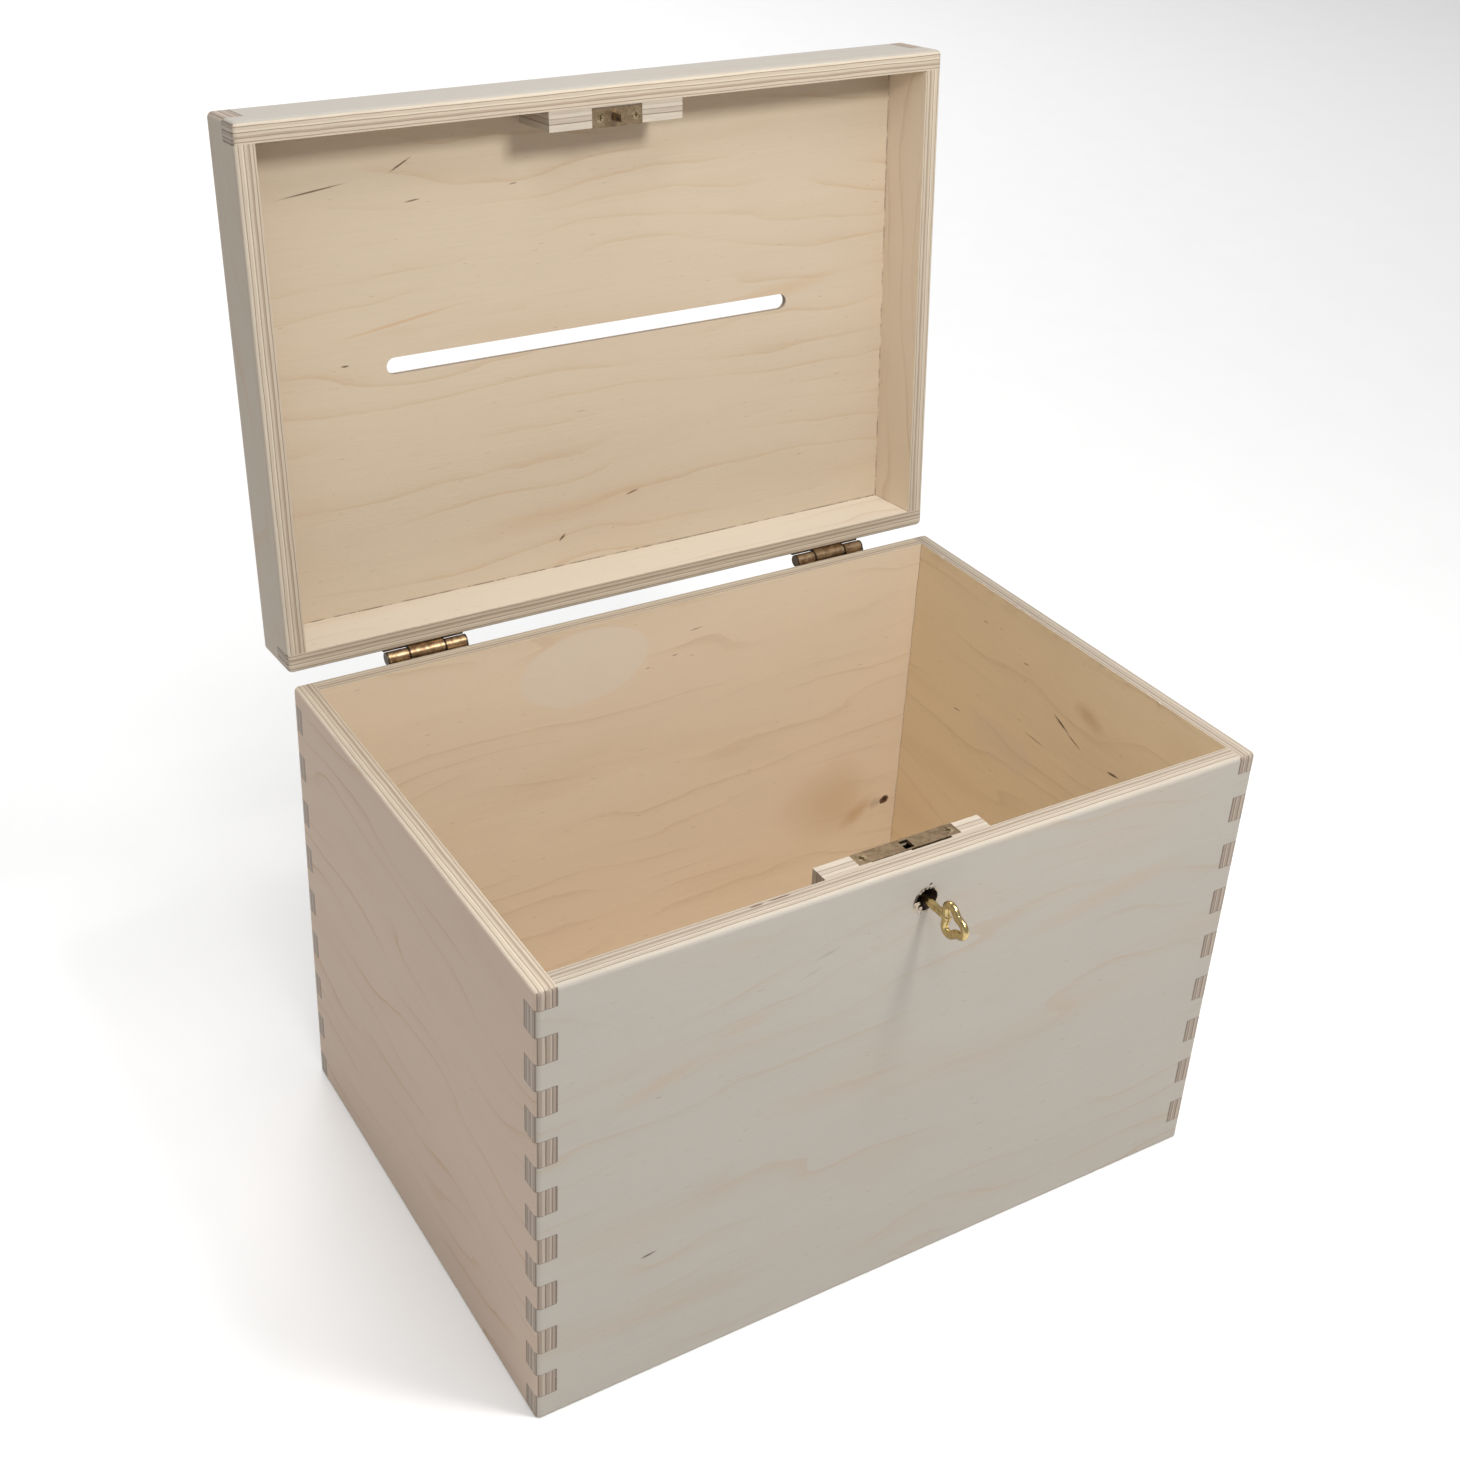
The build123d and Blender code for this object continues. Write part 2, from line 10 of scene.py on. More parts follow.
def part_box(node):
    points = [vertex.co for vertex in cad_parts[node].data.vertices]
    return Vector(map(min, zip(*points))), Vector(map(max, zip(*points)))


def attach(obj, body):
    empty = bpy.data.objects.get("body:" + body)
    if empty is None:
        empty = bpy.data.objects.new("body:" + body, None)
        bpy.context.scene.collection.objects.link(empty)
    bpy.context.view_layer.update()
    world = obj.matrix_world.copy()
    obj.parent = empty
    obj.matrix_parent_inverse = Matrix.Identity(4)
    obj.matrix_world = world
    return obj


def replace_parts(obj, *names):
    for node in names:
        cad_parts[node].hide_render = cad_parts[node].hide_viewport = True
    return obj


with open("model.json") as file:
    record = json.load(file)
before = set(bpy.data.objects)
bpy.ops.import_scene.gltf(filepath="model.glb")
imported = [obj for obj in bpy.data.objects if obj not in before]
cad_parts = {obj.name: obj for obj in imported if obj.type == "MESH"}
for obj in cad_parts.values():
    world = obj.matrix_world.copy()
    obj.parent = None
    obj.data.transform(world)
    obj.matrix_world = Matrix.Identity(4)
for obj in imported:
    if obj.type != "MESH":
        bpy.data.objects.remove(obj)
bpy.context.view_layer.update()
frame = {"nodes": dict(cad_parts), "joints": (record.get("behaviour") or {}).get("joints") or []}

MM = 0.001
nodes = frame["nodes"]

# ---------------------------------------------------------------- places, read from the frame
front_low, front_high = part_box("front_wall")
_, left_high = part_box("left_wall")
HALF_WIDTH = front_high.x / MM
HALF_DEPTH = left_high.y / MM
HEIGHT = front_high.z / MM
PLY = (front_high.y - front_low.y) / MM
FINGER = 12.55  # height of one joint finger
LID_GAP = 0.3  # daylight between the two rims when shut
RIM = HEIGHT + LID_GAP  # height of the lid's rim when shut
LID_HEIGHT = 32.5
PANEL = 3.0

joints = {joint["name"]: joint for joint in frame["joints"]}
HINGE = Vector(joints["lid_hinge"]["pos_m"])
OPEN_ANGLE = math.radians(-joints["lid_hinge"]["range_deg"][0])
KEY_X, _, KEY_Z = Vector(joints["key_turn"]["pos_m"]) / MM

# hinges: where each is centred, and its leaves' screws
HINGES = dict(left=-108.8, right=115.2)
HINGE_HALF = 19.8  # just inside the ends of the knuckles
KNUCKLE_HALF = 9.0
LEAF = 1.3
HINGE_SCREW_X = 12.0
HINGE_SCREW_REACH = 10.2
# head radius, shank radius and length of each kind of screw
HINGE_SCREW = (2.5, 1.25, 7.5)
FACE_SCREW = (2.2, 1.1, 10.0)
STRIKE_SCREW = (2.0, 1.0, 10.0)
FACE_SCREWS_X = (-24.0, 18.6)
FACE_SCREW_Y = -106.3
STRIKE_SCREWS_X = (-10.0, 7.8)
STRIKE_SCREW_Y = -106.75

# the key
BOW_Y = -138.5
BOW_REACH = 5.85  # mean radius of the clover's ring
BOW_NOTCH = 1.5  # how far its lobes swing out and in
BOW_SECTION = (1.9, 1.5)
SHAFT_R = 1.7
SHAFT_END_Y = -135.2
SHAFT_TIP_Y = -105.2
PIPE_R = 1.12
PIPE_DEPTH = 6.5
BIT_ROOT = 1.3
BIT_R = 4.6
BIT_HALF = 0.8
BIT_TIP_Y = -105.4
BIT_LENGTH = 3.6
WARD_START, WARD_END, WARD_DEPTH = 1.3, 2.3, 1.0


# ---------------------------------------------------------------- shader writing
class Shader:
    """A material's node tree, written as expressions. Values are sockets or numbers."""

    def __init__(self, name):
        self.material = bpy.data.materials.new(name)
        self.material.use_nodes = True
        self.tree = self.material.node_tree
        self.surface = self.tree.nodes["Principled BSDF"]

    def put(self, socket, value):
        if isinstance(value, bpy.types.NodeSocket):
            self.tree.links.new(value, socket)
        elif value is not None:
            socket.default_value = value

    def math(self, operation, a, b=None):
        node = self.tree.nodes.new("ShaderNodeMath")
        node.operation = operation
        for socket, value in zip(node.inputs, (a, b)):
            self.put(socket, value)
        return node.outputs[0]

    def add(self, a, b):
        return self.math("ADD", a, b)

    def sub(self, a, b):
        return self.math("SUBTRACT", a, b)

    def mul(self, a, b):
        return self.math("MULTIPLY", a, b)

    def ramp(self, value, low, high):
        """0 below low, 1 above high, smooth between. low may be the larger."""
        node = self.tree.nodes.new("ShaderNodeMapRange")
        node.interpolation_type = "SMOOTHSTEP"
        self.put(node.inputs["Value"], value)
        node.inputs["From Min"].default_value = min(low, high)
        node.inputs["From Max"].default_value = max(low, high)
        node.inputs["To Min"].default_value = 0.0 if low < high else 1.0
        node.inputs["To Max"].default_value = 1.0 if low < high else 0.0
        return node.outputs["Result"]

    def vector(self, x, y, z):
        node = self.tree.nodes.new("ShaderNodeCombineXYZ")
        for socket, value in zip(node.inputs, (x, y, z)):
            self.put(socket, value)
        return node.outputs[0]

    def split(self, vector):
        node = self.tree.nodes.new("ShaderNodeSeparateXYZ")
        self.put(node.inputs[0], vector)
        return node.outputs[0], node.outputs[1], node.outputs[2]

    def scaled(self, place, factors):
        """Coordinates stretched by a factor each."""
        return self.vector(*(self.mul(axis, factor) for axis, factor in zip(place, factors)))

    def noise(self, vector, detail=2.0, rough=0.5, distortion=0.0):
        node = self.tree.nodes.new("ShaderNodeTexNoise")
        self.put(node.inputs["Vector"], vector)
        node.inputs["Scale"].default_value = 1.0
        node.inputs["Detail"].default_value = detail
        node.inputs["Roughness"].default_value = rough
        node.inputs["Distortion"].default_value = distortion
        return node.outputs[0]

    def mix(self, factor, a, b):
        node = self.tree.nodes.new("ShaderNodeMix")
        node.data_type = "RGBA"
        self.put(node.inputs["Factor"], factor)
        self.put(node.inputs[6], a)
        self.put(node.inputs[7], b)
        return node.outputs[2]

    def shade(self, colour, factor):
        """colour made lighter or darker by a factor that may vary."""
        node = self.tree.nodes.new("ShaderNodeMix")
        node.data_type = "RGBA"
        node.blend_type = "MULTIPLY"
        node.inputs["Factor"].default_value = 1.0
        self.put(node.inputs[6], colour)
        self.put(node.inputs[7], self.vector(factor, factor, factor))
        return node.outputs[2]

    def bump(self, height, distance, strength=1.0):
        node = self.tree.nodes.new("ShaderNodeBump")
        node.inputs["Strength"].default_value = strength
        node.inputs["Distance"].default_value = distance
        self.put(node.inputs["Height"], height)
        return node.outputs[0]

    def coordinates(self):
        """Object position in millimetres, and the object-space normal."""
        node = self.tree.nodes.new("ShaderNodeTexCoord")
        scale = self.tree.nodes.new("ShaderNodeMapping")
        scale.inputs["Scale"].default_value = (1 / MM, 1 / MM, 1 / MM)
        self.put(scale.inputs["Vector"], node.outputs["Object"])
        return scale.outputs[0], node.outputs["Normal"]

    def shut(self, position, normal):
        """The same position and normal, in the frame of the shut lid."""
        pivot = HINGE / MM
        turn = Matrix.Rotation(OPEN_ANGLE, 3, "X")
        results = []
        for value, offset in ((position, pivot - turn @ pivot), (normal, Vector())):
            node = self.tree.nodes.new("ShaderNodeMapping")
            node.inputs["Rotation"].default_value = (OPEN_ANGLE, 0, 0)
            node.inputs["Location"].default_value = offset
            self.put(node.inputs["Vector"], value)
            results.append(node.outputs[0])
        return results

    def finish(self, colour, roughness, normal=None):
        self.put(self.surface.inputs["Base Color"], colour)
        self.put(self.surface.inputs["Roughness"], roughness)
        if normal is not None:
            self.put(self.surface.inputs["Normal"], normal)
        return self.material


def srgb(red, green, blue):
    """A colour seen as 0-255 values, as a linear colour."""
    def linear(value):
        value /= 255
        return value / 12.92 if value <= 0.04045 else ((value + 0.055) / 1.055) ** 2.4
    return (linear(red), linear(green), linear(blue), 1.0)


# ---------------------------------------------------------------- birch plywood
# the plies, pale to dark, and their finger ends
CREAM = srgb(199, 187, 168)
PALE = srgb(186, 172, 153)
TAWNY = srgb(163, 147, 129)
TAN = srgb(140, 124, 108)
UMBER = srgb(112, 95, 80)
END_LIGHT = srgb(178, 164, 149)
END_GRAIN = srgb(157, 142, 128)
END_DARK = srgb(118, 102, 90)
# flaws, joints, dark wood, stains and grime, and painted shade for joint gaps, the keyhole and hinge
# knuckles
FLECK = srgb(84, 54, 34)
GAP_SHADE = srgb(84, 66, 50)
DARK_WOOD_AND_HOLE_SHADE = srgb(44, 27, 18)
GRIME_AND_GAP_SHADE = srgb(52, 42, 32)
STAIN = srgb(186, 150, 112)
# the veneers, outside and inside: birch tones, greyer outside and warmer inside, each face also made
# darker or lighter as painted shade and light for how it is lit
FRONT_VENEER_LIT_TONE = srgb(179, 172, 162)
LEFT_VENEER_LIT_TONE = srgb(192, 172, 154)
INNER_VENEER_LIT_TONE = srgb(212, 196, 174)
BACK_INNER_LIT_TONE = srgb(215, 197, 173)
RIGHT_INNER_LIT_TONE = srgb(228, 208, 175)
LID_VENEER_LIT_TONE = srgb(193, 177, 155)
PATCH = srgb(214, 201, 184)
# the lid's rails, outside and inside: tones set rail by rail, lighter or darker as painted light and shade
LID_OUTSIDE_LIT_TONES = dict(
    front=srgb(173, 167, 158), back=FRONT_VENEER_LIT_TONE, left=srgb(180, 168, 153), right=FRONT_VENEER_LIT_TONE
)
LID_INSIDE_LIT_TONES = dict(
    front=LID_VENEER_LIT_TONE, back=srgb(212, 200, 183), left=LID_VENEER_LIT_TONE, right=srgb(228, 212, 190)
)

# The plies across a sawn edge: where each starts, as a share of the thickness from the
# outer face, and its colour. Seen along the board, and on the ends of the fingers.
LONG_EDGE = (
    (0.0, CREAM), (0.2, TAN), (0.24, PALE), (0.38, CREAM), (0.45, TAN), (0.49, PALE),
    (0.62, TAWNY), (0.7, TAN), (0.74, PALE), (0.88, TAN), (0.92, PALE),
)
CROSS_EDGE = (
    (0.0, END_GRAIN), (0.1, END_DARK), (0.14, END_GRAIN), (0.3, END_LIGHT), (0.44, END_DARK),
    (0.5, END_GRAIN), (0.68, END_LIGHT), (0.76, END_DARK), (0.81, END_GRAIN), (0.94, END_DARK),
)


def toned(layers, factors):
    """The same plies, each of their colours multiplied by the factors."""
    return tuple(
        (start, (*(channel * factor for channel, factor in zip(colour, factors)), 1.0))
        for start, colour in layers
    )


GREYED = (0.82, 0.83, 0.86)
GREY_EDGE = toned(LONG_EDGE, GREYED)
PANEL_EDGE = ((0.0, TAWNY), (0.35, UMBER), (0.68, TAWNY))
BLOCK_EDGE = toned(
    ((0.0, PALE), (0.2, CREAM), (0.36, TAWNY), (0.41, PALE), (0.62, TAN), (0.67, CREAM)), GREYED
)


class Board(Shader):
    """Plywood seen along its own axes: u along the face grain, v across it, w down from a face."""

    def __init__(self, name, axes, outer, lid=False, thick=PLY, seed=0.0):
        super().__init__(name)
        position, normal = self.coordinates()
        if lid:
            position, normal = self.shut(position, normal)
        place = self.split(position)
        facing = self.split(normal)
        u_axis, v_axis, w_axis = ("XYZ".index(letter) for letter in axes)
        self.u, self.v = place[u_axis], place[v_axis]
        self.w = self.math("ABSOLUTE", self.sub(place[w_axis], outer))
        self.facing = [self.math("ABSOLUTE", facing[i]) for i in (u_axis, v_axis, w_axis)]
        self.inner = self.math("GREATER_THAN", self.w, thick / 2)
        self.thick, self.seed = thick, seed

    def stretched(self, along, across, offset=0.0):
        """Board coordinates divided by a feature's length and width; the two faces differ."""
        shift = self.seed * 37.7 + offset
        return self.vector(
            self.add(self.mul(self.u, 1 / along), shift),
            self.mul(self.v, 1 / across),
            self.add(self.mul(self.inner, 23.4), shift),
        )

    def veneer(self, outer, inner, ring_gap=17.0, figure=1.0, wander=2.2, warm=0.1):
        """The rotary-cut faces: broad tones, wavy growth rings, fibres and small flecks."""
        base = self.mix(self.inner, outer, inner)
        zones = self.noise(self.stretched(230, 46), 2, 0.5, 0.3)
        colour = self.shade(base, self.add(0.955, self.mul(zones, 0.09)))
        warmth = self.ramp(self.noise(self.stretched(160, 30, 7.0), 2), 0.52, 0.72)
        colour = self.mix(self.mul(warmth, warm), colour, STAIN)

        bend = self.noise(self.stretched(150, 52, 5.0), 2, 0.4)
        tremble = self.noise(self.stretched(24, 9, 6.0), 2, 0.6)
        phase = self.add(self.mul(self.v, 1 / ring_gap), self.mul(bend, wander * 2))
        phase = self.add(phase, self.mul(tremble, 0.22))
        ring = self.math("FRACT", phase)
        sharp, broad = self.ramp(ring, 0.8, 0.97), self.ramp(ring, 0.4, 0.97)
        late = self.add(self.mul(sharp, 0.75), self.mul(broad, 0.25))
        late = self.mul(late, self.ramp(ring, 1.0, 0.975))
        presence = self.ramp(self.noise(self.stretched(95, 26, 9.0), 1), 0.36, 0.66)
        broken = self.add(0.45, self.mul(self.noise(self.stretched(9, 1.2, 8.0), 2, 0.7), 1.0))
        growth = self.mul(self.mul(late, presence), self.mul(broken, 0.34 * figure))
        colour = self.mix(growth, colour, self.shade(STAIN, 0.86))

        fibre = self.noise(self.stretched(30, 0.6, 2.0), 3, 0.6)
        colour = self.shade(colour, self.add(0.945, self.mul(fibre, 0.11)))
        silk = self.noise(self.stretched(4.5, 0.2, 3.0), 2, 0.7)
        colour = self.shade(colour, self.add(0.96, self.mul(silk, 0.08)))
        fleck = self.ramp(self.noise(self.stretched(5.5, 0.9, 4.0), 0.5, 0.5), 0.765, 0.83)
        colour = self.mix(self.mul(fleck, 0.4), colour, self.shade(STAIN, 0.62))
        return colour, self.add(self.mul(fibre, 0.6), self.mul(silk, 0.4))

    def plies(self, depth, layers):
        """Colour across the edge; depth runs from 0 at the outer face to 1 at the inner one."""
        node = self.tree.nodes.new("ShaderNodeValToRGB")
        node.color_ramp.interpolation = "LINEAR"
        self.put(node.inputs[0], depth)
        elements = node.color_ramp.elements
        while len(elements) > 1:
            elements.remove(elements[-1])
        elements[0].position, elements[0].color = layers[0]
        for (start, colour), (_, previous) in zip(layers[1:], layers):
            elements.new(start - 0.012).color = previous
            elements.new(start + 0.012).color = colour
        return node.outputs[0]

    def edge(self, long_layers, cross_layers):
        """The sawn edge: plies along the board or end on, streaked and porous."""
        on_end = self.math("GREATER_THAN", self.facing[0], self.facing[1])
        along = self.add(self.mul(on_end, self.sub(self.v, self.u)), self.u)
        waver = self.noise(self.vector(self.mul(along, 1 / 34), self.seed, self.mul(self.w, 0.12)), 2)
        depth = self.add(self.w, self.mul(self.sub(waver, 0.5), 0.9))
        depth = self.mul(depth, 1 / self.thick)
        layers = self.mix(on_end, self.plies(depth, long_layers), self.plies(depth, cross_layers))
        streak_place = self.vector(self.mul(along, 1 / 16), self.mul(self.w, 4.5), self.seed)
        streak = self.noise(streak_place, 3, 0.65)
        colour = self.shade(layers, self.add(0.66, self.mul(streak, 0.68)))
        pore_place = self.vector(self.mul(along, 1.5), self.mul(self.w, 4.6), self.seed + 3.0)
        pores = self.noise(pore_place, 3, 0.75)
        colour = self.mix(self.mul(self.ramp(pores, 0.55, 0.7), 0.42), colour, UMBER)
        return colour, self.add(self.mul(pores, -0.5), self.mul(streak, 0.5))

    def spot(self, x, y, length, width, angle, soft, ragged):
        """How much of an elongated, turned spot covers a point, in two distances from its middle."""
        turn = math.radians(angle)
        along = self.add(self.mul(x, math.cos(turn)), self.mul(y, math.sin(turn)))
        across = self.sub(self.mul(y, math.cos(turn)), self.mul(x, math.sin(turn)))
        along = self.mul(along, 2 / length)
        across = self.mul(across, 2 / width)
        reach = self.math("SQRT", self.add(self.mul(along, along), self.mul(across, across)))
        wobble = self.noise(self.vector(self.mul(x, 4 / length), self.mul(y, 1.6 / width), length), 2)
        reach = self.add(reach, self.mul(self.sub(wobble, 0.5), 2 * ragged))
        return self.ramp(reach, 1.0, 1.0 - soft)

    def mark(
        self, colour, tint, place, size, angle=0.0, strength=0.8, soft=0.7, ragged=0.25, inner=None
    ):
        """A mark, natural or painted shade, on one face (inner True or False) or on both (None)."""
        beside, above = self.sub(self.u, place[0]), self.sub(self.v, place[1])
        cover = self.spot(beside, above, *size, angle, soft, ragged)
        if inner is not None:
            side = self.inner if inner else self.sub(1.0, self.inner)
            cover = self.mul(cover, side)
        return self.mix(self.mul(cover, strength), colour, tint)

    def joint_lines(self, colour, half_length, base, last_level, own_even):
        """Painted shade in the hairline gaps round the fingers at both ends of the board."""
        end_distance = self.sub(half_length, self.math("ABSOLUTE", self.u))
        level = self.math("MINIMUM", self.mul(self.sub(self.v, base), 1 / FINGER), last_level)
        off_level = self.math("ABSOLUTE", self.sub(self.math("FRACT", self.add(level, 0.5)), 0.5))
        across = self.mul(
            self.ramp(off_level, 0.03, 0.012), self.math("LESS_THAN", end_distance, PLY + 0.1)
        )
        parity = self.math("MODULO", self.math("FLOOR", level), 2)
        foreign = parity if own_even else self.sub(1.0, parity)
        shoulder = self.mul(
            self.ramp(self.math("ABSOLUTE", self.sub(end_distance, PLY + 0.12)), 0.26, 0.08), foreign
        )
        # noise breaks up the painted gap shade
        shade_breakup = self.noise(self.vector(self.mul(self.u, 0.5), self.mul(self.v, 0.5), self.seed), 2)
        gap_shade = self.mul(self.math("MAXIMUM", across, shoulder), self.add(0.15, shade_breakup))
        return self.mix(gap_shade, colour, GAP_SHADE)

    def wood(
        self, face, face_height, long_layers=LONG_EDGE, cross_layers=CROSS_EDGE, slits=(), bore=None
    ):
        """The finished board: veneer on its faces, plies on its edges, and a drilled bore whose walls are
        painted near black as shade.
        """
        cut, cut_height = self.edge(long_layers, cross_layers)
        if bore:
            beside, above = self.sub(self.u, bore[0]), self.sub(self.v, bore[1])
            # painted shade: the bore's walls near black
            bore_shade = self.spot(beside, above, 13, 13, 0, 0.05, 0.0)
            cut = self.mix(self.mul(bore_shade, 0.93), cut, DARK_WOOD_AND_HOLE_SHADE)
        for u, w, length, width in slits:
            cover = self.spot(self.sub(self.u, u), self.sub(self.w, w), length, width, 0, 0.3, 0.2)
            cut = self.mix(self.mul(cover, 0.85), cut, FLECK)
        flat = self.ramp(self.facing[2], 0.55, 0.8)
        colour = self.mix(flat, cut, face)
        height = self.add(self.mul(flat, self.sub(face_height, cut_height)), cut_height)
        roughness = self.add(0.62, self.mul(self.sub(height, 0.5), 0.16))
        self.surface.inputs["Specular IOR Level"].default_value = 0.3
        return self.finish(colour, roughness, self.bump(height, 0.00022, 0.55))


# For each side: the axes along, across and through it, where its outer face is, half its
# length, and whether it owns the even fingers.
SIDES = {
    "front": ("XZY", -HALF_DEPTH, HALF_WIDTH, True),
    "back": ("XZY", HALF_DEPTH, HALF_WIDTH, True),
    "left": ("YZX", -HALF_WIDTH, HALF_DEPTH, False),
    "right": ("YZX", HALF_WIDTH, HALF_DEPTH, False),
}
# where the counting of fingers stops: inside the short last finger of the box, and of the lid
BOX_LEVELS = 17.5
LID_LEVELS = 1.4


def dress(node, material):
    """Give a CAD node its material."""
    slots = nodes[node].data.materials
    slots.clear()
    slots.append(material)


def wall(side, seed, outer, inner, marks=(), slits=(), bore=None, rim=LONG_EDGE, **grain):
    """A wall of the box, with marks (tint, place, size, angle, options), natural ones and painted shade,
    and slits in its rim.
    """
    axes, outer_face, half_length, own_even = SIDES[side]
    board = Board(f"birch_{side}_wall", axes, outer_face, seed=seed)
    face, height = board.veneer(outer, inner, **grain)
    for tint, place, size, angle, options in marks:
        face = board.mark(face, tint, place, size, angle, **options)
    face = board.joint_lines(face, half_length, 0.0, BOX_LEVELS, own_even)
    dress(f"{side}_wall", board.wood(face, height, rim, slits=slits, bore=bore))


def rail(side, seed, outer, inner):
    """A rail of the lid."""
    axes, outer_face, half_length, own_even = SIDES[side]
    board = Board(f"birch_lid_{side}_rail", axes, outer_face, lid=True, seed=seed)
    face, height = board.veneer(outer, inner, figure=0.8)
    face = board.joint_lines(face, half_length, RIM, LID_LEVELS, own_even)
    dress(f"lid_{side}_rail", board.wood(face, height))


def dress_walls():
    wall("front", 1.0, FRONT_VENEER_LIT_TONE, INNER_VENEER_LIT_TONE, [
        (FLECK, (-124.5, 68.5), (9, 1.5), 8, dict(strength=0.85, inner=False)),
        (STAIN, (-122, 158), (52, 12), 16, dict(strength=0.22, soft=0.9, inner=False)),
        (STAIN, (-84, 172), (46, 9), 9, dict(strength=0.18, soft=0.9, inner=False)),
        (TAN, (-48, 193), (16, 2.6), 12, dict(strength=0.3, soft=0.9, inner=False)),
        (TAN, (-55, 186), (14, 2.2), 14, dict(strength=0.25, soft=0.9, inner=False)),
        (STAIN, (100, 172), (120, 16), 8, dict(strength=0.2, soft=0.9, inner=False)),
        # painted shade: a near-black ragged disc round the keyhole, on both faces
        (DARK_WOOD_AND_HOLE_SHADE, (KEY_X - 0.3, KEY_Z + 0.9), (12.6, 11.2), 0, dict(strength=0.95, soft=0.15, ragged=0.22)),
        (DARK_WOOD_AND_HOLE_SHADE, (KEY_X + 1.2, KEY_Z + 7.2), (1.9, 1.2), 20, dict(strength=0.9, soft=0.3, inner=False)),
        (PALE, (KEY_X - 6.0, KEY_Z - 3.4), (6, 3), 40, dict(soft=0.6, ragged=0.5, inner=False)),
    ], slits=((-77.5, 7.6, 7, 0.9), (-67.0, 7.7, 12, 0.8)), bore=(KEY_X, KEY_Z), rim=GREY_EDGE,
        figure=0.75, ring_gap=21.0)
    wall("back", 2.0, FRONT_VENEER_LIT_TONE, BACK_INNER_LIT_TONE, [
        (PATCH, (-32, 199), (71, 41), 4, dict(strength=0.8, soft=0.05, ragged=0.03, inner=True)),
        (STAIN, (120, 74), (80, 66), 0, dict(strength=0.4, soft=0.95, inner=True)),
        (STAIN, (140, 62), (34, 14), 35, dict(strength=0.6, soft=0.95, inner=True)),
        (TAWNY, (152, 64), (12, 9), 30, dict(strength=0.5, soft=0.8, inner=True)),
        (FLECK, (158, 64.5), (7, 5.6), 30, dict(strength=0.95, soft=0.3, ragged=0.35, inner=True)),
        (DARK_WOOD_AND_HOLE_SHADE, (158.4, 64.8), (3.6, 2.8), 30, dict(strength=0.9, soft=0.4, ragged=0.2, inner=True)),
        (FLECK, (30, 205), (9, 0.9), 6, dict(strength=0.6, inner=True)),
        (FLECK, (18.3, 193), (5, 0.9), 4, dict(strength=0.6, inner=True)),
        (FLECK, (3, 189.5), (4, 0.8), 4, dict(strength=0.55, inner=True)),
    ], figure=0.7)
    wall("left", 3.0, LEFT_VENEER_LIT_TONE, INNER_VENEER_LIT_TONE, figure=1.7, ring_gap=15.0, wander=2.6)
    wall("right", 4.0, LEFT_VENEER_LIT_TONE, RIGHT_INNER_LIT_TONE, [
        (STAIN, (-27, 191), (30, 13), 12, dict(strength=0.5, soft=0.95, inner=True)),
        (FLECK, (-9, 178), (15, 1.9), 22, dict(strength=0.9, inner=True)),
        (FLECK, (-19, 173.5), (15, 1.2), 20, dict(strength=0.75, inner=True)),
        (FLECK, (-48, 170.7), (10, 1.8), -5, dict(strength=0.9, inner=True)),
        (FLECK, (8, 159.5), (20, 0.9), 3, dict(strength=0.6, inner=True)),
        (FLECK, (68.6, 144.5), (7, 1.0), -4, dict(strength=0.7, inner=True)),
        (FLECK, (21, 196), (5, 1.0), -4, dict(strength=0.65, inner=True)),
        (FLECK, (54.5, 203.5), (5, 0.9), 0, dict(strength=0.6, inner=True)),
        (PATCH, (32, 143), (52, 26), 0, dict(strength=0.22, soft=0.2, inner=True)),
    ], rim=GREY_EDGE, figure=0.6)


def dress_rails():
    for side, seed in (("front", 5.0), ("back", 6.0), ("left", 7.0), ("right", 8.0)):
        rail(side, seed, LID_OUTSIDE_LIT_TONES[side], LID_INSIDE_LIT_TONES[side])


